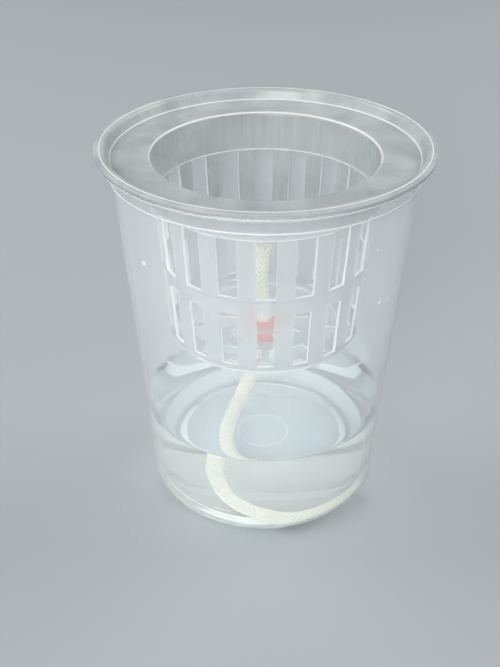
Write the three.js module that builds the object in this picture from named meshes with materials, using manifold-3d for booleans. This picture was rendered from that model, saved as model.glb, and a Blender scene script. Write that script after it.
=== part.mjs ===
// Self-watering pot: a clear reservoir cup, a net-cup insert that hangs in its rim, and a cotton
// wick that runs from the basket through a red grommet down to the water.
// Millimetres, +Z up, the table at z = 0, the cup's axis on Z and the front of the pot at -Y.
import * as THREE from 'three';
import { mergeVertices } from 'three/addons/utils/BufferGeometryUtils.js';
import Module from 'manifold-3d';

const wasm = await Module();
wasm.setup();

// Reservoir cup
const CUP_WALL = 0.9;
const CUP_TOP_Z = 140.1;
const BEAD_R = 58.3;
const BEAD_HEIGHT = 1.2;
const COLLAR_TOP_R = 56.7;
const COLLAR_FOOT_R = 54.3;
const COLLAR_FOOT_Z = 133;
const WALL_TOP_R = 53.4;
const WALL_TOP_Z = 132.4;
const WALL_FOOT_R = 44.2;
const BASE_FILLET = 7.6;
const FOOT_INNER_R = 33.5;
const PANEL_R = 32.4;
const PANEL_RISE = 1.8;

// Net-cup insert
const NET_WALL = 1;
const FLANGE_TOP_Z = 141.6;
const FLANGE_THICK = 1.2;
const FLANGE_R = 58.7;
const FLANGE_INNER_R = 54.7;
const DECK_Z = 137.9;
const DECK_THICK = 1.2;
const DECK_R = 53.6;
const LIP_RADIUS = 1.6;
const BASKET_TOP_R = 40.5;
const BASKET_FOOT_R = 35.5;
const BASKET_FOOT_Z = 68.4;
const BASKET_FILLET = 2.5;
const FLOOR_Z = 69.5;
const FLOOR_THICK = 1.5;

// Slots of the basket: two rows of tall windows, one above the other
const SLOT_COUNT = 18;
const SLOT_CUT_DEPTH = 5;
const FRONT_ANGLE = -Math.PI / 2;
const SLOT_ROWS = [
  { low: 100.6, high: 123.3, width: 7 },
  { low: 72.6, high: 94.2, width: 5.8 },
];

// Openings of the floor: rings of holes, staggered so that each ring's spokes face the holes of the
// next, round a hole for the grommet
const SPOKE_COUNT = 9;
const GROMMET_HOLE_R = 4.4;
const FLOOR_RINGS = [
  { inner: 10.5, outer: 16.8, count: SPOKE_COUNT, halfAngle: 16, startAngle: 0 },
  { inner: 22.3, outer: 27.8, count: SPOKE_COUNT, halfAngle: 17, startAngle: 20 },
  { inner: 30.9, outer: 32.6, count: SLOT_COUNT, halfAngle: 5, startAngle: 0 },
];

// Wick and its grommet
const CLEARANCE = 0.3;
const WICK_R = 2.8;
const GROMMET_BORE_R = WICK_R + CLEARANCE;
const GROMMET_SHOULDER_R = 7.5;
const GROMMET_FOOT_R = 6.5;
const GROMMET_FOOT_Z = 62;
const GROMMET_CHAMFER = 0.6;

// The route of the wick above the grommet's foot: straight up the bore, then a short leaning stub.
const WICK_TOP_ROUTE = [
  [0, 0, 62],
  [0, 0, 67],
  [0, 0, 72],
  [-0.6, 0, 79],
  [-1.4, 0.1, 86],
  [-1.5, 0.3, 93],
  [-0.6, 0.6, 101.4],
];

// The route below it: down into the water, then round the foot of the cup to the right.
const WICK_TAIL_ROUTE = [
  [0, 0, 61.7],
  [-0.1, 0, 58.5],
  [-1.3, 0, 54],
  [-3.8, -0.2, 48],
  [-6.2, -0.7, 42.5],
  [-8.4, -2.1, 36.6],
  [-11.2, -5.4, 28.8],
  [-13.6, -9.2, 21.8],
  [-14.6, -13.6, 15.4],
  [-13.3, -18.6, 10.2],
  [-10.2, -23.9, 7],
  [-5.6, -29.3, 6],
  [-0.2, -33.9, 5.8],
  [6, -37, 5.6],
  [12.9, -37.2, 5.4],
  [19.6, -34.2, 5.3],
  [25.8, -29.8, 5.3],
  [31.1, -24.2, 5.3],
  [35.2, -17.7, 5.3],
];

const ROUND_STEPS = 72;
const GROMMET_STEPS = 36;
const ARC_STEPS = 5;
const CORD_SIDES = 10;

const polypropylene = new THREE.MeshStandardMaterial({
  name: 'clear polypropylene',
  color: 0xc9d3da,
  roughness: 0.22,
  metalness: 0,
  transparent: true,
  opacity: 0.3,
});
const frostedPolypropylene = new THREE.MeshStandardMaterial({
  name: 'frosted polypropylene',
  color: 0xd5dade,
  roughness: 0.5,
  metalness: 0,
  transparent: true,
  opacity: 0.6,
});
const redSilicone = new THREE.MeshStandardMaterial({
  name: 'red silicone',
  color: 0xe0505a,
  roughness: 0.55,
  metalness: 0,
});
const cotton = new THREE.MeshStandardMaterial({
  name: 'braided cotton',
  color: 0xe9e4d2,
  roughness: 0.95,
  metalness: 0,
});

// Points of an arc in the profile plane, radius against height, angles in degrees.
function arc(centreR, centreZ, radius, fromDegrees, toDegrees) {
  return Array.from({ length: ARC_STEPS + 1 }, (_, step) => {
    const degrees = fromDegrees + ((toDegrees - fromDegrees) * step) / ARC_STEPS;
    const angle = THREE.MathUtils.degToRad(degrees);
    return [centreR + radius * Math.cos(angle), centreZ + radius * Math.sin(angle)];
  });
}

// A profile of [radius, height] points turned about Z; the outside of the profile runs upwards.
function revolve(profile, steps) {
  const points = profile.map(([r, z]) => new THREE.Vector2(r, z));
  return new THREE.LatheGeometry(points, steps).rotateX(Math.PI / 2);
}

function closed(profile) {
  return [...profile, profile[0]];
}

function toSolid(geometry) {
  const bare = geometry.clone();
  bare.deleteAttribute('normal');
  bare.deleteAttribute('uv');
  const merged = mergeVertices(bare);
  return new wasm.Manifold(
    new wasm.Mesh({
      numProp: 3,
      vertProperties: new Float32Array(merged.attributes.position.array),
      triVerts: new Uint32Array(merged.index.array),
    }),
  );
}

function toGeometry(solid) {
  const { vertProperties, triVerts } = solid.getMesh();
  const geometry = new THREE.BufferGeometry();
  geometry.setAttribute('position', new THREE.BufferAttribute(vertProperties, 3));
  geometry.setIndex(new THREE.BufferAttribute(triVerts, 1));
  geometry.computeVertexNormals();
  return geometry;
}

// Reservoir: a thin tapered wall with a rounded foot, a raised base panel, and a collar and bead
// at the mouth that carry the insert.
function reservoirCup() {
  const footR = WALL_FOOT_R - BASE_FILLET;
  const beadFoot = CUP_TOP_Z - BEAD_HEIGHT;
  const outside = [
    [0, PANEL_RISE],
    [PANEL_R, PANEL_RISE],
    [FOOT_INNER_R, 0],
    ...arc(footR, BASE_FILLET, BASE_FILLET, -90, 0),
    [WALL_TOP_R, WALL_TOP_Z],
    [COLLAR_FOOT_R, COLLAR_FOOT_Z],
    [COLLAR_TOP_R, beadFoot],
    [BEAD_R, beadFoot],
    [BEAD_R, CUP_TOP_Z],
  ];
  const inside = [
    [COLLAR_TOP_R - CUP_WALL, CUP_TOP_Z],
    [COLLAR_FOOT_R - CUP_WALL, COLLAR_FOOT_Z],
    [WALL_TOP_R - CUP_WALL, WALL_TOP_Z],
    ...arc(footR, BASE_FILLET, BASE_FILLET - CUP_WALL, 0, -90),
    [FOOT_INNER_R + CUP_WALL / 2, CUP_WALL],
    [PANEL_R + CUP_WALL / 2, PANEL_RISE + CUP_WALL],
    [0, PANEL_RISE + CUP_WALL],
  ];
  return revolve([...outside, ...inside], ROUND_STEPS);
}

// Outer radius of the tapered basket wall at a height.
function basketRadius(z) {
  const share = (z - FLOOR_Z) / (DECK_Z - FLOOR_Z);
  return BASKET_FOOT_R + (BASKET_TOP_R - BASKET_FOOT_R) * share;
}

// Insert before its openings are cut: flange on the rim, sunk deck, rounded lip, tapered basket
// whose rounded foot stands below a flat floor, and a hole in the floor for the grommet.
function netCupBlank() {
  const flangeFoot = FLANGE_TOP_Z - FLANGE_THICK;
  const deckFoot = DECK_Z - DECK_THICK;
  const floorTop = FLOOR_Z + FLOOR_THICK;
  const neckR = basketRadius(deckFoot);
  const filletR = BASKET_FOOT_R - BASKET_FILLET;
  const innerFillet = BASKET_FILLET - NET_WALL;
  const outside = [
    [GROMMET_HOLE_R, FLOOR_Z],
    [filletR, FLOOR_Z],
    ...arc(filletR, BASKET_FOOT_Z + BASKET_FILLET, BASKET_FILLET, -90, 0),
    [neckR, deckFoot],
    [DECK_R + NET_WALL / 2, deckFoot],
    [FLANGE_INNER_R + NET_WALL / 2, flangeFoot],
    [FLANGE_R, flangeFoot],
    [FLANGE_R, FLANGE_TOP_Z],
  ];
  const lipR = basketRadius(DECK_Z) - NET_WALL + LIP_RADIUS;
  const inside = [
    [FLANGE_INNER_R, FLANGE_TOP_Z],
    [DECK_R, DECK_Z],
    ...arc(lipR, DECK_Z - LIP_RADIUS, LIP_RADIUS, 90, 180),
    ...arc(filletR, floorTop + innerFillet, innerFillet, 0, -90),
    [GROMMET_HOLE_R, floorTop],
  ];
  return revolve(closed([...outside, ...inside]), ROUND_STEPS);
}

// One window of the wall, as a block that passes through the wall at an angle about Z.
function slotCutter({ low, high, width }, angle) {
  const middle = (low + high) / 2;
  return new THREE.BoxGeometry(SLOT_CUT_DEPTH, width, high - low)
    .translate(basketRadius(middle), 0, middle)
    .rotateZ(angle);
}

// One hole of the floor, a sector of a ring that passes through the floor.
function floorCutter({ inner, outer, halfAngle }, angle) {
  const half = THREE.MathUtils.degToRad(halfAngle);
  const sector = new THREE.Shape();
  sector.absarc(0, 0, outer, angle - half, angle + half, false);
  sector.absarc(0, 0, inner, angle + half, angle - half, true);
  const depth = FLOOR_THICK * 3;
  return new THREE.ExtrudeGeometry(sector, {
    depth,
    bevelEnabled: false,
    curveSegments: 2,
  }).translate(0, 0, FLOOR_Z - FLOOR_THICK);
}

function netCup() {
  let solid = toSolid(netCupBlank());
  for (const row of SLOT_ROWS) {
    for (let i = 0; i < SLOT_COUNT; i += 1) {
      const angle = FRONT_ANGLE + (i * 2 * Math.PI) / SLOT_COUNT;
      solid = solid.subtract(toSolid(slotCutter(row, angle)));
    }
  }
  for (const ring of FLOOR_RINGS) {
    const start = FRONT_ANGLE + THREE.MathUtils.degToRad(ring.startAngle);
    for (let i = 0; i < ring.count; i += 1) {
      const angle = start + (i * 2 * Math.PI) / ring.count;
      solid = solid.subtract(toSolid(floorCutter(ring, angle)));
    }
  }
  return toGeometry(solid);
}

// Grommet: a neck pressed into the floor's hole, flush with the floor, and a tapered barrel under it.
function wickGrommet() {
  const neckR = GROMMET_HOLE_R - CLEARANCE;
  const neckTop = FLOOR_Z + FLOOR_THICK;
  const shoulderZ = FLOOR_Z - CLEARANCE;
  const profile = [
    [GROMMET_BORE_R, GROMMET_FOOT_Z],
    [GROMMET_FOOT_R - GROMMET_CHAMFER, GROMMET_FOOT_Z],
    [GROMMET_FOOT_R, GROMMET_FOOT_Z + GROMMET_CHAMFER],
    [GROMMET_SHOULDER_R, shoulderZ],
    [neckR, shoulderZ],
    [neckR, neckTop],
    [GROMMET_BORE_R, neckTop],
  ];
  return revolve(closed(profile), GROMMET_STEPS);
}

// A length of the round wick along its route.
function wick(route, steps) {
  const section = new THREE.Shape();
  for (let i = 0; i < CORD_SIDES; i += 1) {
    const angle = (i * 2 * Math.PI) / CORD_SIDES;
    const x = WICK_R * Math.cos(angle);
    const y = WICK_R * Math.sin(angle);
    if (i === 0) section.moveTo(x, y);
    else section.lineTo(x, y);
  }
  section.closePath();
  const extrudePath = new THREE.CatmullRomCurve3(route.map((p) => new THREE.Vector3(...p)));
  return new THREE.ExtrudeGeometry(section, { steps, bevelEnabled: false, extrudePath });
}

function named(name, geometry, material) {
  const mesh = new THREE.Mesh(geometry, material);
  mesh.name = name;
  return mesh;
}

const pot = new THREE.Group();
pot.add(
  named('reservoir_cup', reservoirCup(), polypropylene),
  named('net_cup', netCup(), frostedPolypropylene),
  named('wick_grommet', wickGrommet(), redSilicone),
  named('wick_top', wick(WICK_TOP_ROUTE, WICK_TOP_ROUTE.length - 1), cotton),
  named('wick_tail', wick(WICK_TAIL_ROUTE, WICK_TAIL_ROUTE.length - 1), cotton),
);

export default pot;
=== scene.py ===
import math

import bmesh
import bpy
from mathutils import Matrix, Vector
from mathutils.geometry import interpolate_bezier
from mathutils.kdtree import KDTree


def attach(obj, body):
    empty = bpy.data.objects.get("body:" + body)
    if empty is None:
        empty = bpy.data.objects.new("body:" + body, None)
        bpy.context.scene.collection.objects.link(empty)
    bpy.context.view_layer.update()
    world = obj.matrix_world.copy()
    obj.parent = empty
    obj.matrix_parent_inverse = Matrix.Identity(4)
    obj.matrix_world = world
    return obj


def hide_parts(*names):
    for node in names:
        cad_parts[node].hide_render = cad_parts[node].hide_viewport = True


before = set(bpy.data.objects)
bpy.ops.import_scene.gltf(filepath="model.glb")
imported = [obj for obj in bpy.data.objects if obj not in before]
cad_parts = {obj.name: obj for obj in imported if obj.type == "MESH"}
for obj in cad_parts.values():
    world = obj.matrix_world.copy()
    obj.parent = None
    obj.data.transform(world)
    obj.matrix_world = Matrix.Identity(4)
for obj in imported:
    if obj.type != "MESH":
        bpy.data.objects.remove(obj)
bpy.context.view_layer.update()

# Reservoir cup: a one-litre food-container cup, injection moulded in clear polypropylene with a
# wall under a millimetre thick. A foot ring and a raised base panel stand it on the table, and a
# flared collar with a bead round the mouth carries the insert.
MM = 0.001
WALL = 0.9
FOOT_INNER_R = 33.5
PANEL_R = 32.4
PANEL_RISE = 1.8
GATE_RING_R = 10
BASE_ROUND = 7.6
WALL_FOOT_R = 44.2
WALL_TOP = (53.4, 132.4)
SHOULDER = (54.3, 133.0)
COLLAR_TOP = (56.7, 138.9)
BEAD_R = 58.3
CUP_TOP = 140.1
GATE_RING_BEAD, PANEL_ROUND, FOOT_ROUND = 0.3, 0.9, 0.6
SHOULDER_ROUND, UNDER_BEAD_ROUND, BEAD_ROUND, MOUTH_ROUND = 0.35, 0.6, 0.55, 0.5
ROUND_STEPS = 160
SAME_POINT = 0.004
SHARP_ANGLE = 38


def arc(centre_r, centre_z, radius, start, end, steps=8):
    """Points of a round in the profile plane, from one angle in degrees to another."""
    angles = [math.radians(start + (end - start) * i / steps) for i in range(steps + 1)]
    return [(centre_r + radius * math.cos(a), centre_z + radius * math.sin(a)) for a in angles]


def turned(profile, steps=ROUND_STEPS):
    """A closed skin: (radius, height) points in millimetres, spun once round the pot's axis."""
    skin = bmesh.new()
    chain = [skin.verts.new((r * MM, 0, z * MM)) for r, z in profile]
    edges = [skin.edges.new(pair) for pair in zip(chain, chain[1:])]
    bmesh.ops.spin(skin, geom=chain + edges, axis=(0, 0, 1), cent=(0, 0, 0),
                   angle=math.tau, steps=steps, use_merge=True)
    bmesh.ops.remove_doubles(skin, verts=skin.verts, dist=SAME_POINT * MM)
    bmesh.ops.recalc_face_normals(skin, faces=skin.faces)
    return skin


def finish_bands(skin, finish, bands):
    """Gives faces a finish by bands: (low radius, high radius, low height, high height) in mm."""
    for face in skin.faces:
        middle = face.calc_center_median() / MM
        r = math.hypot(middle.x, middle.y)
        if any(r0 < r < r1 and z0 < middle.z < z1 for r0, r1, z0, z1 in bands):
            face.material_index = finish


def mesh_of(shape, name):
    mesh = bpy.data.meshes.new(name)
    shape.to_mesh(mesh)
    shape.free()
    return mesh


def add_piece(mesh, finishes, body, slot, *nodes):
    """Puts a finished mesh in the scene, on its body, with its finishes and the solids it shows."""
    mesh.shade_smooth()
    mesh.set_sharp_from_angle(angle=math.radians(SHARP_ANGLE))
    for finish in finishes:
        mesh.materials.append(finish)
    made = bpy.data.objects.new(mesh.name, mesh)
    bpy.context.scene.collection.objects.link(made)
    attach(made, body)
    if nodes:
        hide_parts(*nodes)
    return made


def linear(hex_colour):
    """An sRGB hex colour as the linear RGBA that shaders take."""
    parts = [int(hex_colour[i:i + 2], 16) / 255 for i in (1, 3, 5)]
    return [p / 12.92 if p <= 0.04045 else ((p + 0.055) / 1.055) ** 2.4 for p in parts] + [1]


def add_node(tree, kind, inputs, **settings):
    """Adds a node with its settings; an input is a plain value or another node's output."""
    made = tree.nodes.new(kind)
    for key, value in settings.items():
        setattr(made, key, value)
    for key, value in inputs.items():
        if isinstance(value, bpy.types.NodeSocket):
            tree.links.new(value, made.inputs[key])
        else:
            made.inputs[key].default_value = value
    return made


def new_material(name, **plain):
    """A material of one Principled shader, with its plain values set on the shader's sockets."""
    made = bpy.data.materials.new(name)
    made.use_nodes = True
    shader = made.node_tree.nodes["Principled BSDF"]
    for key, value in plain.items():
        shader.inputs[key.replace("_", " ")].default_value = value
    return made, made.node_tree, shader


def let_lamps_through(tree, shader, tint):
    """Lamps shine on through a thin clear wall, dimmed by the tint at each face, as through plastic."""
    path = add_node(tree, "ShaderNodeLightPath", {})
    dimmed = add_node(tree, "ShaderNodeBsdfTransparent", {"Color": linear(tint)})
    both = add_node(tree, "ShaderNodeMixShader", {
        0: path.outputs["Is Shadow Ray"], 1: shader.outputs[0], 2: dimmed.outputs[0]})
    tree.links.new(both.outputs[0], tree.nodes["Material Output"].inputs["Surface"])


# Clear polypropylene, moulded against a polished steel tool: a bluish haze over a clear wall, with
# soft upright flow lines that show only where a lamp glances off it. Round the base and under the
# water line the haze is whiter: a painted glow standing in for the light the water gathers there.
FLOW_LINE = 2.2
FLOW_LENGTH = 90


def clear_polypropylene(name, colour, clearness, tint):
    made, tree, shader = new_material(
        name, Base_Color=linear(colour), IOR=1.49, Transmission_Weight=clearness)
    place = add_node(tree, "ShaderNodeTexCoord", {})
    stretch = add_node(tree, "ShaderNodeMapping", {
        "Vector": place.outputs["Object"],
        "Scale": (1 / (FLOW_LINE * MM), 1 / (FLOW_LINE * MM), 1 / (FLOW_LENGTH * MM))})
    flow = add_node(tree, "ShaderNodeTexNoise", {
        "Vector": stretch.outputs[0], "Scale": 1.0, "Detail": 3.0})
    haze = add_node(tree, "ShaderNodeMapRange", {
        "Value": flow.outputs["Fac"], "From Min": 0.35, "From Max": 0.7,
        "To Min": 0.02, "To Max": 0.06})
    tree.links.new(haze.outputs[0], shader.inputs["Roughness"])
    bump = add_node(tree, "ShaderNodeBump", {
        "Height": flow.outputs["Fac"], "Strength": 0.06, "Distance": 0.3 * MM})
    tree.links.new(bump.outputs[0], shader.inputs["Normal"])
    let_lamps_through(tree, shader, tint)
    return made


clear_plastic = clear_polypropylene("moulded clear polypropylene", "#F2F5F6", 0.79, "#F3F5F6")
hazy_plastic_painted_glow = clear_polypropylene("hazy polypropylene, painted glow", "#F4F6F4", 0.77, "#F0F3F3")

# Polypropylene at a moulded corner, painted white: a painted highlight for the light that gathers in
# the wall and leaves at its edges as thin white lines, mottled by fine noise.
EDGE_MOTTLE = 1.1
painted_edge_highlight, tree, shader = new_material(
    "polypropylene edge, painted highlight", IOR=1.49, Roughness=0.35, Alpha=0.85)
place = add_node(tree, "ShaderNodeTexCoord", {})
edge_mottle = add_node(tree, "ShaderNodeTexNoise", {
    "Vector": place.outputs["Object"], "Scale": 1 / (EDGE_MOTTLE * MM), "Detail": 3.0})
pale = add_node(tree, "ShaderNodeValToRGB", {"Fac": edge_mottle.outputs["Fac"]})
# Painted highlight: near-white colour, mottled by the noise.
pale.color_ramp.elements[0].position, pale.color_ramp.elements[0].color = 0.25, linear("#E9E9E5")
pale.color_ramp.elements[1].position, pale.color_ramp.elements[1].color = 0.6, linear("#FAF9F5")
tree.links.new(pale.outputs[0], shader.inputs["Base Color"])

base_r = WALL_FOOT_R - BASE_ROUND
WATER_LEVEL = 37.6
CREEP = 1.3
WATER_EDGE = WATER_LEVEL + CREEP
wall_slope = (WALL_TOP[0] - WALL_FOOT_R) / (WALL_TOP[1] - BASE_ROUND)
edge_wall = WALL_FOOT_R + wall_slope * (WATER_EDGE - BASE_ROUND)
cup_outside = [
    (0, PANEL_RISE), (GATE_RING_R - 0.4, PANEL_RISE),
    *arc(GATE_RING_R, PANEL_RISE, GATE_RING_BEAD, 180, 0, 6), (GATE_RING_R + 0.4, PANEL_RISE),
    *arc(PANEL_R - 1.4, PANEL_RISE - PANEL_ROUND, PANEL_ROUND, 90, 20, 4), (PANEL_R, 0.7),
    *arc(FOOT_INNER_R + 0.3, FOOT_ROUND, FOOT_ROUND, 200, 270, 4),
    *arc(base_r, BASE_ROUND, BASE_ROUND, -90, 0, 16), (edge_wall, WATER_EDGE),
    WALL_TOP, *arc(SHOULDER[0] - 0.25, SHOULDER[1] - 0.1, SHOULDER_ROUND, -60, 40, 6),
    (COLLAR_TOP[0] - 0.5, COLLAR_TOP[1] - 1.2),
    *arc(COLLAR_TOP[0] + 0.4, COLLAR_TOP[1] - UNDER_BEAD_ROUND, UNDER_BEAD_ROUND, 170, 100, 4),
    *arc(BEAD_R - BEAD_ROUND, CUP_TOP - 0.6, BEAD_ROUND, -80, 90, 10),
]
cup_inside = [
    *arc(COLLAR_TOP[0] - WALL + MOUTH_ROUND, CUP_TOP - MOUTH_ROUND, MOUTH_ROUND, 90, 180, 5),
    (COLLAR_TOP[0] - WALL - 0.4, COLLAR_TOP[1] - 0.7),
    *arc(SHOULDER[0] - WALL - 0.25, SHOULDER[1] - 0.1, SHOULDER_ROUND, 40, -60, 6),
    (WALL_TOP[0] - WALL, WALL_TOP[1]), (edge_wall - WALL, WATER_EDGE),
    *arc(base_r, BASE_ROUND, BASE_ROUND - WALL, 0, -90, 16),
    *arc(FOOT_INNER_R + 0.9, WALL + FOOT_ROUND, FOOT_ROUND, 270, 200, 4),
    *arc(PANEL_R - 1.2, PANEL_RISE + WALL - PANEL_ROUND, PANEL_ROUND, 20, 90, 4),
    (0, PANEL_RISE + WALL),
]
cup_mesh = turned(cup_outside + cup_inside)
# Painted highlights: thin white lines at the shoulder, under the bead, round the base panel and on the
# gate ring.
finish_bands(cup_mesh, 1, [
    (WALL_TOP[0] - 0.3, SHOULDER[0] + 0.3, WALL_TOP[1] - 0.05, SHOULDER[1] + 0.2),
    (BEAD_R - 0.35, BEAD_R + 0.1, CUP_TOP - 1.2, CUP_TOP - 0.5),
    (PANEL_R - 1.2, FOOT_INNER_R + 0.7, 0.1, PANEL_RISE + WALL - 0.1),
    (GATE_RING_R - 0.25, GATE_RING_R + 0.25, PANEL_RISE + 0.1, PANEL_RISE + 0.5),
])
# Painted glow: the lower wall and base round, below the water's edge, take the hazier, whiter finish.
finish_bands(cup_mesh, 2, [(FOOT_INNER_R + 1.5, edge_wall, -0.1, WATER_EDGE)])
add_piece(mesh_of(cup_mesh, "reservoir_cup_shell"), [clear_plastic, painted_edge_highlight, hazy_plastic_painted_glow],
          "reservoir", "clear_plastic", "reservoir_cup")

# Water: fills the lower quarter of the cup and climbs the wall a little at its edge. A few drops
# cling to the wall above, and small bubbles sit where the water meets it.
FILM = 0.05
MENISCUS_REACH = 4.2 * CREEP
water_round = BASE_ROUND - WALL - FILM


def inside_wall(z):
    return WALL_FOOT_R - WALL - FILM + wall_slope * (z - BASE_ROUND)


edge_r = inside_wall(WATER_EDGE)
meniscus = [(edge_r - MENISCUS_REACH * t ** 1.7, WATER_LEVEL + CREEP * (1 - t) ** 2.4)
            for t in (0, 0.06, 0.14, 0.24, 0.36, 0.5, 0.65, 0.82, 1)]
water_skin = [
    (0, PANEL_RISE + WALL + FILM), (PANEL_R - 1.2, PANEL_RISE + WALL + FILM),
    (FOOT_INNER_R + 0.6, WALL + 0.3), *arc(base_r, BASE_ROUND, water_round, -90, 0, 16),
    *meniscus, (0, WATER_LEVEL),
]
water_mesh = turned(water_skin)
DROP_FLATNESS = 0.45
WALL_DROPS = [
    (-52.3, 111.1, 0.95), (50, 96.5, 0.8), (56.5, 95.2, 0.5), (44, 119, 0.45), (-118, 96, 0.6),
    (131, 88, 0.8), (-160, 104, 0.7), (168, 64, 0.6), (-96, 71, 0.65), (88, 112, 0.5),
]
EDGE_BUBBLES = [
    (-31, 0.55), (-27, 0.35), (-4, 0.4), (2, 0.3), (5, 0.35), (12, 0.4), (58, 0.5), (63, 0.4),
    (150, 0.5), (-140, 0.45), (-95, 0.4),
]
drops = [(angle, z, size, inside_wall(z) - 0.15) for angle, z, size in WALL_DROPS]
drops += [(angle, WATER_EDGE + 0.3, size, edge_r - 0.2) for angle, size in EDGE_BUBBLES]
for angle, z, size, r in drops:
    turn = Matrix.Rotation(math.radians(angle), 4, "Z")
    seat = turn @ Matrix.Translation((0, -r * MM, z * MM))
    drop = bmesh.ops.create_icosphere(
        water_mesh, subdivisions=2, radius=size * MM,
        matrix=seat @ Matrix.Diagonal((1, DROP_FLATNESS, 1.1, 1)))
    for face in {face for vert in drop["verts"] for face in vert.link_faces}:
        face.material_index = 1

# Still tap water: clear and smooth, its surface barely uneven where the pot was moved.
RIPPLE = 16
still_water, tree, shader = new_material(
    "still water", Base_Color=linear("#F8FBFC"), IOR=1.333, Transmission_Weight=1.0, Roughness=0.0)
place = add_node(tree, "ShaderNodeTexCoord", {})
ripples = add_node(tree, "ShaderNodeTexNoise", {
    "Vector": place.outputs["Object"], "Scale": 1 / (RIPPLE * MM), "Detail": 1.0})
bump = add_node(tree, "ShaderNodeBump", {
    "Height": ripples.outputs["Fac"], "Strength": 0.04, "Distance": 1.0 * MM})
tree.links.new(bump.outputs[0], shader.inputs["Normal"])
let_lamps_through(tree, shader, "#F7FBFC")

# Drops and bubbles: so small and round that they show only as bright beads, painted near white as a
# painted highlight in place of clear water.
DROP_UNEVENNESS = 0.4
bright_drop_painted, tree, shader = new_material(
    "water in small drops, painted white", Base_Color=linear("#FAFCFC"), IOR=1.333, Roughness=0.05, Alpha=0.55)
place = add_node(tree, "ShaderNodeTexCoord", {})
uneven = add_node(tree, "ShaderNodeTexNoise", {
    "Vector": place.outputs["Object"], "Scale": 1 / (DROP_UNEVENNESS * MM), "Detail": 1.0})
bump = add_node(tree, "ShaderNodeBump", {
    "Height": uneven.outputs["Fac"], "Strength": 0.1, "Distance": 0.1 * MM})
tree.links.new(bump.outputs[0], shader.inputs["Normal"])
add_piece(mesh_of(water_mesh, "water"), [still_water, bright_drop_painted], "reservoir", "clear_plastic")

# Net-cup insert: one frosted polypropylene moulding. Its flange lies on the cup's bead, a sunk deck
# runs in to a rounded lip, and the basket below has two rows of windows and a spoked floor.
SKIN = 1.05
FLANGE_R = 58.7
FLANGE_TOP = 141.6
FLANGE_GROOVE_R = 56.85
FLANGE_INNER_R = 55.8
FLANGE_ROUND = 1.25
FLANGE_FLAT_R = 58.0
DECK_Z = 137.9
DECK_R = 53.6
DECK_ROUND = 0.5
DECK_ROWS = (44, 47, 50)
DECK_MIDDLE_R = 48
LIP_ROUND = 1.6
LIP_R = 39.5
FLOOR_TOP = 71.0
FLOOR_ROUND = 1.5
FLOOR_R = 33.0
GROMMET_HOLE_R = 4.4
UPPER_SLOT = (100.6, 123.3)
LOWER_SLOT = (72.5, 94.2)
SLAT_ROWS = (108, 116)
NECK_ROWS = (128, 132)
PARTING_LINE = 99.6
LINE = 0.45
SPOKES = 9
INNER_HOLES = (10.5, 16.8)
FLOOR_RING_R = 19.5
MIDDLE_HOLES = (22.3, 27.8)
FOOT_HOLES = (30.9, 32.6)
LOWER_HALF, UPPER_HALF, INNER_RIB, MIDDLE_RIB = 4.55, 5.15, 4.0, 3.0
SECTOR = 360 / SPOKES
SLAT_COLUMNS = (7.5, 10, 12.5)
LAST_COLUMN = 17.7


def basket_inside(z):
    low, high = (FLOOR_R + FLOOR_ROUND, FLOOR_TOP + FLOOR_ROUND), (LIP_R, DECK_Z - LIP_ROUND)
    return low[0] + (high[0] - low[0]) * (z - low[1]) / (high[1] - low[1])


insert_skin = [(r, FLOOR_TOP) for r in (
    GROMMET_HOLE_R, *INNER_HOLES, FLOOR_RING_R, *MIDDLE_HOLES, *FOOT_HOLES)]
insert_skin += arc(FLOOR_R, FLOOR_TOP + FLOOR_ROUND, FLOOR_ROUND, -90, 0, 8)
insert_skin += [(basket_inside(z), z) for z in (
    LOWER_SLOT[1], PARTING_LINE - LINE / 2, PARTING_LINE + LINE / 2, UPPER_SLOT[0], *SLAT_ROWS,
    UPPER_SLOT[1], UPPER_SLOT[1] + LINE, *NECK_ROWS)]
insert_skin += arc(LIP_R + LIP_ROUND, DECK_Z - LIP_ROUND, LIP_ROUND, 180, 90, 7)
insert_skin += [(r, DECK_Z) for r in DECK_ROWS]
insert_skin += arc(DECK_R - DECK_ROUND, DECK_Z + DECK_ROUND, DECK_ROUND, -90, -15, 4)
insert_skin += arc(FLANGE_INNER_R, FLANGE_TOP - FLANGE_ROUND, FLANGE_ROUND, 170, 90, 6)
insert_skin += [(FLANGE_GROOVE_R + across, FLANGE_TOP - dip)
                for across, dip in ((-0.25, 0), (-0.1, 0.16), (0.1, 0.16), (0.25, 0))]
insert_skin += [(FLANGE_FLAT_R, FLANGE_TOP), (FLANGE_R, FLANGE_TOP - 0.1)]

half = [MIDDLE_RIB, LOWER_HALF, UPPER_HALF, *SLAT_COLUMNS, SECTOR / 2 - UPPER_HALF,
        SECTOR / 2 - LOWER_HALF, SECTOR / 2 - INNER_RIB, LAST_COLUMN, SECTOR / 2]
columns = [-a for a in reversed(half)] + [0] + half


def is_window(face):
    """True where a face of the front sector lies in a window of the wall or a hole of the floor."""
    middle = face.calc_center_median() / MM
    r, z = math.hypot(middle.x, middle.y), middle.z
    angle = abs(math.degrees(math.atan2(middle.x, -middle.y)))
    beside = min(angle, SECTOR / 2 - angle)
    if z < FLOOR_TOP + 0.01:
        return (INNER_HOLES[0] < r < INNER_HOLES[1] and angle < SECTOR / 2 - INNER_RIB
                or MIDDLE_HOLES[0] < r < MIDDLE_HOLES[1] and angle > MIDDLE_RIB
                or FOOT_HOLES[0] < r < FOOT_HOLES[1] and beside < LOWER_HALF)
    if UPPER_SLOT[0] < z < UPPER_SLOT[1]:
        return beside < UPPER_HALF
    return LOWER_SLOT[0] < z < LOWER_SLOT[1] and beside < LOWER_HALF


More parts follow.
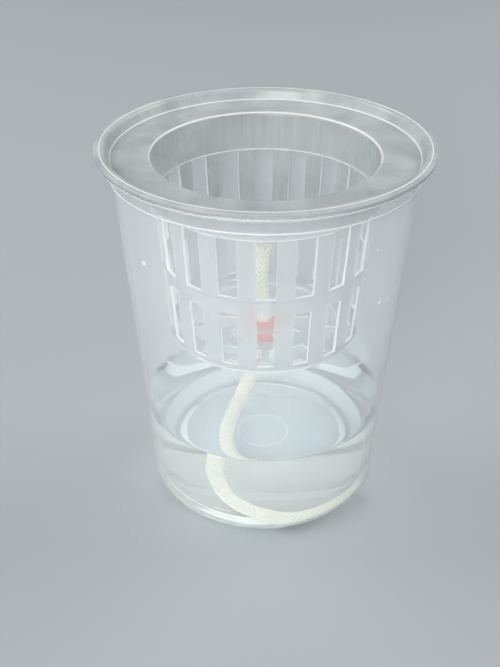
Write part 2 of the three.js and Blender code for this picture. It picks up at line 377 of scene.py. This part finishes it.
insert_mesh = bmesh.new()
chain = [insert_mesh.verts.new((0, -r * MM, z * MM)) for r, z in insert_skin]
strip = chain + [insert_mesh.edges.new(pair) for pair in zip(chain, chain[1:])]
bmesh.ops.rotate(insert_mesh, verts=chain, cent=(0, 0, 0),
                 matrix=Matrix.Rotation(math.radians(columns[0]), 3, "Z"))
for before, after in zip(columns, columns[1:]):
    strip = bmesh.ops.spin(insert_mesh, geom=strip, axis=(0, 0, 1), cent=(0, 0, 0),
                           angle=math.radians(after - before), steps=1)["geom_last"]
windows = [face for face in insert_mesh.faces if is_window(face)]
bmesh.ops.delete(insert_mesh, geom=windows, context="FACES")
bmesh.ops.spin(insert_mesh, geom=insert_mesh.verts[:] + insert_mesh.edges[:] + insert_mesh.faces[:],
               axis=(0, 0, 1), cent=(0, 0, 0), angle=math.radians(360 - SECTOR), steps=SPOKES - 1,
               use_duplicate=True)
bmesh.ops.remove_doubles(insert_mesh, verts=insert_mesh.verts, dist=SAME_POINT * MM)
bmesh.ops.recalc_face_normals(insert_mesh, faces=insert_mesh.faces)
deck_face = min(insert_mesh.faces, key=lambda face: abs(
    math.hypot(*face.calc_center_median().xy) - DECK_MIDDLE_R * MM))
if deck_face.normal.z < 0:
    bmesh.ops.reverse_faces(insert_mesh, faces=insert_mesh.faces)
finish_bands(insert_mesh, 1, [(0, FLANGE_R, 0, FLANGE_TOP + 0.1)])
finish_bands(insert_mesh, 3, [
    (LIP_R, FLANGE_R, DECK_Z - 0.1, FLANGE_TOP + 0.1),
    (0, INNER_HOLES[0], FLOOR_TOP - 0.1, FLOOR_TOP + 0.1),
])
# Painted highlights: thin white lines at the flange groove, the deck's edge, the lip and above the
# upper windows.
finish_bands(insert_mesh, 2, [
    (FLANGE_GROOVE_R - 0.26, FLANGE_GROOVE_R + 0.26, DECK_Z, FLANGE_TOP),
    (DECK_R - 0.35, DECK_R + 0.2, DECK_Z, FLANGE_TOP),
    (LIP_R + 0.3, LIP_R + 1.0, DECK_Z - 0.7, DECK_Z - 0.1),
    (FLOOR_R, LIP_R + LIP_ROUND, UPPER_SLOT[1], UPPER_SLOT[1] + LINE),
])
# Painted shade: a thin darker band along the parting line.
finish_bands(insert_mesh, 0, [(FLOOR_R, LIP_R, PARTING_LINE - LINE / 2, PARTING_LINE + LINE / 2)])

# Frosted polypropylene: the same resin from a spark-eroded tool, milky, most of all in the thick deck.
# The deck has turning marks and clouds and the slats upright streaks, drawn a little coarser than the
# real ones so that they show. Round the grommet a pink blush is painted into the floor's colour: a
# painted glow for the red light the grommet scatters through the milky plastic.
STREAK = 1.6
STREAK_LENGTH = 60 * STREAK
CLOUD = 14
TURNING_MARK = 1.5
PAINTED_BLUSH_R = 17


def frosted_polypropylene(name, milkiness):
    made, tree, shader = new_material(name, IOR=1.49, Alpha=milkiness)
    place = add_node(tree, "ShaderNodeTexCoord", {})
    stretch = add_node(tree, "ShaderNodeMapping", {
        "Vector": place.outputs["Object"],
        "Scale": (1 / (STREAK * MM), 1 / (STREAK * MM), 1 / (STREAK_LENGTH * MM))})
    streaks = add_node(tree, "ShaderNodeTexNoise", {
        "Vector": stretch.outputs[0], "Scale": 1.0, "Detail": 4.0})
    clouds = add_node(tree, "ShaderNodeTexNoise", {
        "Vector": place.outputs["Object"], "Scale": 1 / (CLOUD * MM), "Detail": 2.0})
    turning = add_node(tree, "ShaderNodeTexWave", {
        "Vector": place.outputs["Object"], "Scale": math.pi / (10 * TURNING_MARK * MM),
        "Distortion": 0.6, "Detail": 2.0}, wave_type="RINGS", rings_direction="Z")
    spot = add_node(tree, "ShaderNodeSeparateXYZ", {0: place.outputs["Object"]})
    upright = add_node(tree, "ShaderNodeMapRange", {
        "Value": spot.outputs["Z"], "From Min": (DECK_Z - 2) * MM, "From Max": DECK_Z * MM,
        "To Min": 0.6, "To Max": 0.15})
    mottle = add_node(tree, "ShaderNodeMix", {
        "Factor": upright.outputs[0], "A": clouds.outputs["Fac"], "B": streaks.outputs["Fac"]})
    milk = add_node(tree, "ShaderNodeValToRGB", {"Fac": mottle.outputs["Result"]})
    milk.color_ramp.elements[0].position, milk.color_ramp.elements[0].color = 0.3, linear("#AFB5B7")
    milk.color_ramp.elements[1].position, milk.color_ramp.elements[1].color = 0.68, linear("#CCD0CF")
    flat = add_node(tree, "ShaderNodeMapping", {"Vector": place.outputs["Object"], "Scale": (1, 1, 0)})
    from_axis = add_node(tree, "ShaderNodeVectorMath", {0: flat.outputs[0]}, operation="LENGTH")
    # Painted glow: pink painted into the colour round the grommet, fading out by the blush radius.
    painted_red_glow = add_node(tree, "ShaderNodeMapRange", {
        "Value": from_axis.outputs["Value"], "From Min": GROMMET_HOLE_R * MM, "From Max": PAINTED_BLUSH_R * MM,
        "To Min": 1.0, "To Max": 0.0})
    painted_blush = add_node(tree, "ShaderNodeMix", {
        "Factor": painted_red_glow.outputs[0], "A": milk.outputs[0], "B": linear("#FA7A72")}, data_type="RGBA")
    tree.links.new(painted_blush.outputs["Result"], shader.inputs["Base Color"])
    rough = add_node(tree, "ShaderNodeMapRange", {
        "Value": clouds.outputs["Fac"], "From Min": 0.3, "From Max": 0.7,
        "To Min": 0.2, "To Max": 0.34})
    tree.links.new(rough.outputs[0], shader.inputs["Roughness"])
    marks = add_node(tree, "ShaderNodeMath", {
        0: turning.outputs["Fac"], 1: 0.35, 2: streaks.outputs["Fac"]}, operation="MULTIPLY_ADD")
    bump = add_node(tree, "ShaderNodeBump", {
        "Height": marks.outputs[0], "Strength": 0.1, "Distance": 0.2 * MM})
    tree.links.new(bump.outputs[0], shader.inputs["Normal"])
    return made


frosted_plastic = frosted_polypropylene("moulded frosted polypropylene", 0.46)
frosted_deck = frosted_polypropylene("frosted polypropylene, thick", 0.8)

# The parting line, where the tool's two halves met: a thin band of painted shade, standing in for the
# shade of a fine step.
parting_line_painted_shade, tree, shader = new_material(
    "polypropylene at the parting line, painted shade", IOR=1.49, Roughness=0.5, Alpha=0.6)
place = add_node(tree, "ShaderNodeTexCoord", {})
shade_mottle = add_node(tree, "ShaderNodeTexNoise", {
    "Vector": place.outputs["Object"], "Scale": 1 / (STREAK * MM), "Detail": 2.0})
shaded = add_node(tree, "ShaderNodeValToRGB", {"Fac": shade_mottle.outputs["Fac"]})
shaded.color_ramp.elements[0].position, shaded.color_ramp.elements[0].color = 0.3, linear("#757B7D")
shaded.color_ramp.elements[1].position, shaded.color_ramp.elements[1].color = 0.7, linear("#989D9F")
tree.links.new(shaded.outputs[0], shader.inputs["Base Color"])

# The wall's cut edges take the next finish in the list, if there is one: the windows' edges take the
# painted white highlight, while the flange's outer edge and the floor round the grommet stay frosted.
insert = add_piece(mesh_of(insert_mesh, "net_cup_shell"),
                   [parting_line_painted_shade, frosted_plastic, painted_edge_highlight, frosted_deck],
                   "insert", "frosted_plastic", "net_cup")
EDGE_ROUND = 0.09
EDGE_ANGLE = 50
wall = insert.modifiers.new("wall thickness", "SOLIDIFY")
wall.thickness, wall.offset, wall.use_even_offset = SKIN * MM, -1, True
wall.material_offset_rim = 1
edges = insert.modifiers.new("moulded edges", "BEVEL")
edges.width, edges.segments, edges.limit_method = EDGE_ROUND * MM, 2, "ANGLE"
edges.angle_limit = math.radians(EDGE_ANGLE)

# Foot rim of the insert: moulded in one with the basket, a rounded rim that stands below the floor,
# so that the insert can be set down level. Its lower edge carries a painted white highlight.
RIM_FOOT = 68.4
RIM_ROUND = 2.5
rim_skin = [
    (FLOOR_R + 0.2, FLOOR_TOP - 0.6), (FLOOR_R, FLOOR_TOP - 1.0),
    *arc(FLOOR_R + 0.25, RIM_FOOT + 0.25, 0.25, 180, 270, 3),
    *arc(FLOOR_R, RIM_FOOT + RIM_ROUND, RIM_ROUND, -80, 0, 10),
    (FLOOR_R + 2.4, FLOOR_TOP + 0.7), (FLOOR_R + 1.8, FLOOR_TOP + 0.3),
    (FLOOR_R + 0.2, FLOOR_TOP - 0.6),
]
rim_mesh = turned(rim_skin)
# Painted highlight: the rim's lower outer round takes the white finish.
finish_bands(rim_mesh, 1, [(FLOOR_R - 0.1, FLOOR_R + 2.47, RIM_FOOT - 0.1, RIM_FOOT + 2.1)])
add_piece(mesh_of(rim_mesh, "net_cup_foot_rim"), [frosted_plastic, painted_edge_highlight],
          "insert", "frosted_plastic")

# Wick grommet: a red silicone plug pressed up into the hole in the floor, flush with it. Its barrel
# grips the wick under the floor and shows pink through the frosted plastic, with a painted pink glow
# in the floor round it.
BORE_R, NECK_R = 3.0, 4.1
BARREL_FOOT_R, BARREL_TOP_R = 6.5, 7.5
BARREL_FOOT, BARREL_TOP = 62.0, 69.2
BORE_ROUND, FOOT_EDGE, TOP_EDGE, NECK_EDGE = 0.6, 0.8, 0.5, 0.3
GROMMET_STEPS = 64
grommet_skin = [
    *arc(BORE_R + BORE_ROUND, BARREL_FOOT + BORE_ROUND, BORE_ROUND, 180, 270, 4),
    *arc(BARREL_FOOT_R - FOOT_EDGE, BARREL_FOOT + FOOT_EDGE, FOOT_EDGE, -90, 0, 5),
    *arc(BARREL_TOP_R - TOP_EDGE, BARREL_TOP - TOP_EDGE, TOP_EDGE, 0, 90, 4), (NECK_R, BARREL_TOP),
    *arc(NECK_R - NECK_EDGE, FLOOR_TOP - NECK_EDGE, NECK_EDGE, 0, 90, 4),
    *arc(BORE_R + NECK_EDGE, FLOOR_TOP - NECK_EDGE, NECK_EDGE, 90, 180, 4),
    (BORE_R, BARREL_FOOT + BORE_ROUND),
]

# Silicone from a matt tool: soft red, a little light passing into it, with a fine even grain.
GRAIN = 0.8
red_silicone, tree, shader = new_material(
    "moulded red silicone", Base_Color=linear("#FA7A73"), IOR=1.41, Subsurface_Weight=0.4,
    Subsurface_Scale=1.5 * MM)
place = add_node(tree, "ShaderNodeTexCoord", {})
grain = add_node(tree, "ShaderNodeTexNoise", {
    "Vector": place.outputs["Object"], "Scale": 1 / (GRAIN * MM), "Detail": 3.0})
rough = add_node(tree, "ShaderNodeMapRange", {
    "Value": grain.outputs["Fac"], "To Min": 0.45, "To Max": 0.65})
tree.links.new(rough.outputs[0], shader.inputs["Roughness"])
bump = add_node(tree, "ShaderNodeBump", {
    "Height": grain.outputs["Fac"], "Strength": 0.3, "Distance": 0.1 * MM})
tree.links.new(bump.outputs[0], shader.inputs["Normal"])
add_piece(mesh_of(turned(grommet_skin, GROMMET_STEPS), "wick_grommet_plug"), [red_silicone],
          "insert", "red_rubber", "wick_grommet")

# Wick: a cut length of braided cotton cord, sixteen yarns laid two over two, so the crossings stack
# in chevrons along it. A stub stands in the basket and the tail trails round the foot of the cup.
WICK_R = 2.8
YARNS_EACH_WAY = 8
YARN_R = 0.6
BRAID_PITCH = 16.4
CROSSING = BRAID_PITCH / (2 * YARNS_EACH_WAY)
STEP = CROSSING / 2
WEAVE_DEPTH = 0.28
CROWN_RISE = 0.2
CORE_R = 2.0
FRAY = 3.6
SPLAY = 0.9
STUB_ROUTE = [
    (0, 0, 62), (0, 0, 67), (0, 0, 72), (-0.6, 0, 79), (-1.4, 0.1, 86), (-1.5, 0.3, 93),
    (-0.6, 0.6, 101.4),
]
TAIL_ROUTE = [
    (0, 0, 61.7), (-0.1, 0, 58.5), (-1.3, 0, 54), (-3.8, -0.2, 48), (-6.2, -0.7, 42.5),
    (-8.4, -2.1, 36.6), (-11.2, -5.4, 28.8), (-13.6, -9.2, 21.8), (-14.6, -13.6, 15.4),
    (-13.3, -18.6, 10.2), (-10.2, -23.9, 7), (-5.6, -29.3, 6), (-0.2, -33.9, 5.8),
    (6, -37, 5.6), (12.9, -37.2, 5.4),
    (19.6, -34.2, 5.3), (25.8, -29.8, 5.3), (31.1, -24.2, 5.3), (35.2, -17.7, 5.3),
]


def smooth_line(route):
    """The route as one smooth line of points in millimetres, about a step apart."""
    knots = [Vector(p) for p in route]
    ends = [2 * knots[0] - knots[1]] + knots + [2 * knots[-1] - knots[-2]]
    line = []
    for a, b, c, d in zip(ends, ends[1:], ends[2:], ends[3:]):
        count = max(2, round((c - b).length / STEP) + 1)
        line += interpolate_bezier(b, b + (c - a) / 6, c - (d - b) / 6, c, count)[:-1]
    return line + [knots[-1]]


def braided(name, line):
    """The yarns of the braid and its core, laid along a line and turned into one mesh."""
    data = bpy.data.curves.new(name, "CURVE")
    data.dimensions, data.use_fill_caps = "3D", True
    data.bevel_depth, data.bevel_resolution = YARN_R * MM, 1
    ahead = [(b - a).normalized() for a, b in zip(line, line[1:])]
    ahead.append(ahead[-1])
    side = [Vector((0, 1, 0))]
    for direction in ahead:
        side.append((side[-1] - direction * side[-1].dot(direction)).normalized())
    runs = [0]
    for a, b in zip(line, line[1:]):
        runs.append(runs[-1] + (b - a).length)

    def lay(offset, radius):
        spline = data.splines.new("POLY")
        spline.points.add(len(line) - 1)
        for point, centre, direction, out, run in zip(spline.points, line, ahead, side[1:], runs):
            across, angle = offset(run)
            turn = out * math.cos(angle) + direction.cross(out) * math.sin(angle)
            point.co = [*(centre + turn * across) * MM, 1]
            point.radius = radius / YARN_R

    lay(lambda run: (0, 0), CORE_R)
    middle = WICK_R + CROWN_RISE - YARN_R - WEAVE_DEPTH
    for yarn in range(YARNS_EACH_WAY):
        start = math.tau * yarn / YARNS_EACH_WAY
        for way in (1, -1):
            def offset(run, way=way, yarn=yarn, start=start):
                crossing = run / CROSSING
                over = way * WEAVE_DEPTH * math.cos(math.pi * (2 * yarn + way * crossing - 0.5) / 2)
                loose = max(0, 1 - (runs[-1] - run) / FRAY) ** 2 * SPLAY * ((3 * yarn + way) % 4) / 3
                return middle + over + loose, start + way * math.tau * run / BRAID_PITCH
            lay(offset, YARN_R)
    holder = bpy.data.objects.new(name, data)
    bpy.context.scene.collection.objects.link(holder)
    depsgraph = bpy.context.evaluated_depsgraph_get()
    mesh = bpy.data.meshes.new_from_object(holder.evaluated_get(depsgraph))
    bpy.data.objects.remove(holder)
    mesh.name = name
    near = KDTree(len(line))
    for i, point in enumerate(line):
        near.insert(point * MM, i)
    near.balance()
    crown = mesh.attributes.new("crown", "FLOAT", "POINT")
    crown.data.foreach_set("value", [near.find(v.co)[2] / (WICK_R * MM) for v in mesh.vertices])
    return mesh


# Bleached cotton yarn: matt and creamy white, with soft fibres that blur each yarn's edge and painted
# shade, darker where the yarns dip under each other. The tail has drunk water, so it is darker than the
# stub; on top of that the stub is painted lighter against the shade inside the basket and the tail
# painted darker against the bright light under the water.
FIBRE = 0.35


def braided_cotton(name, crevice_shade, raised):
    made, tree, shader = new_material(
        name, IOR=1.5, Roughness=0.9, Sheen_Weight=0.3, Sheen_Roughness=0.5)
    place = add_node(tree, "ShaderNodeTexCoord", {})
    fibres = add_node(tree, "ShaderNodeTexNoise", {
        "Vector": place.outputs["Object"], "Scale": 1 / (FIBRE * MM), "Detail": 4.0})
    # Painted shade: the colour darkens towards the crevices, where a yarn lies nearer the cord's middle
    # line.
    crown = add_node(tree, "ShaderNodeAttribute", {}, attribute_name="crown")
    lay_height = add_node(tree, "ShaderNodeMapRange", {
        "Value": crown.outputs["Fac"], "From Min": 0.62, "From Max": 1.0, "To Min": 0.0, "To Max": 0.8})
    shade = add_node(tree, "ShaderNodeMath", {
        0: fibres.outputs["Fac"], 1: 0.3, 2: lay_height.outputs[0]}, operation="MULTIPLY_ADD")
    tint = add_node(tree, "ShaderNodeValToRGB", {"Fac": shade.outputs[0]})
    tint.color_ramp.elements[0].position, tint.color_ramp.elements[0].color = 0.05, linear(crevice_shade)
    tint.color_ramp.elements[1].position, tint.color_ramp.elements[1].color = 0.75, linear(raised)
    tree.links.new(tint.outputs[0], shader.inputs["Base Color"])
    bump = add_node(tree, "ShaderNodeBump", {
        "Height": fibres.outputs["Fac"], "Strength": 0.5, "Distance": 0.15 * MM})
    tree.links.new(bump.outputs[0], shader.inputs["Normal"])
    return made


# The stub's colour is painted lighter against the basket's shade; the tail's is darker for being wet
# and painted darker against the bright water.
dry_cotton_painted_lighter = braided_cotton("braided cotton", "#C2B795", "#FAF5DF")
wet_cotton_painted_darker = braided_cotton("braided cotton, wet", "#8E8673", "#E3DECE")

for name, route, cotton, node in (("wick_stub_braid", STUB_ROUTE, dry_cotton_painted_lighter, "wick_top"),
                                  ("wick_tail_braid", TAIL_ROUTE, wet_cotton_painted_darker, "wick_tail")):
    line = smooth_line(route)
    cord = add_piece(braided(name, line), [cotton], "insert", "cotton_cord", node)

# Stage: a plain pale table top, large soft lamps behind both shoulders and one in front, and the
# camera at the photograph's place, looking down on the pot.
FLOOR_SIZE = 6.0
table = bmesh.new()
bmesh.ops.create_grid(table, x_segments=1, y_segments=1, size=FLOOR_SIZE / 2)
table_mesh = mesh_of(table, "table")
table_paint = new_material("pale table", Base_Color=linear("#ABAFB2"), Roughness=0.8)[0]
table_mesh.materials.append(table_paint)
floor = bpy.data.objects.new("table", table_mesh)
bpy.context.scene.collection.objects.link(floor)

LAMP_AIM = Vector((0, 0, 0.07))
LAMP_SIZE = 0.9


def soft_lamp(name, place, watts):
    data = bpy.data.lights.new(name, "AREA")
    data.size, data.energy = LAMP_SIZE, watts
    lamp = bpy.data.objects.new(name, data)
    lamp.location = place
    lamp.rotation_euler = (LAMP_AIM - Vector(place)).to_track_quat("-Z", "Y").to_euler()
    lamp.visible_transmission = False
    bpy.context.scene.collection.objects.link(lamp)


soft_lamp("left lamp", (-1.3, 0.6, 1.2), 13)
soft_lamp("right lamp", (1.3, 0.6, 1.2), 13)
soft_lamp("front lamp", (-0.4, -1.6, 0.8), 24)

world = bpy.data.worlds.new("room")
world.use_nodes = True
world.node_tree.nodes["Background"].inputs["Color"].default_value = linear("#C9CDD0")
world.node_tree.nodes["Background"].inputs["Strength"].default_value = 0.55
bpy.context.scene.world = world
bpy.context.scene.view_settings.view_transform = "Standard"
bpy.context.scene.cycles.transparent_max_bounces = 32

PITCH = math.radians(32.13)
DISTANCE = 0.3841
AIM_HEIGHT = 0.06377
SIDEWAYS = -0.00533
FOCAL_PIXELS = 1000
FRAME_HEIGHT = 667
SENSOR = 36
camera_data = bpy.data.cameras.new("camera")
camera_data.sensor_fit = "VERTICAL"
camera_data.sensor_height = SENSOR
camera_data.lens = FOCAL_PIXELS / FRAME_HEIGHT * SENSOR
camera_data.clip_start = 0.01
camera = bpy.data.objects.new("camera", camera_data)
camera.location = (SIDEWAYS, -DISTANCE * math.cos(PITCH), AIM_HEIGHT + DISTANCE * math.sin(PITCH))
camera.rotation_euler = (math.pi / 2 - PITCH, 0, 0)
bpy.context.scene.collection.objects.link(camera)
bpy.context.scene.camera = camera
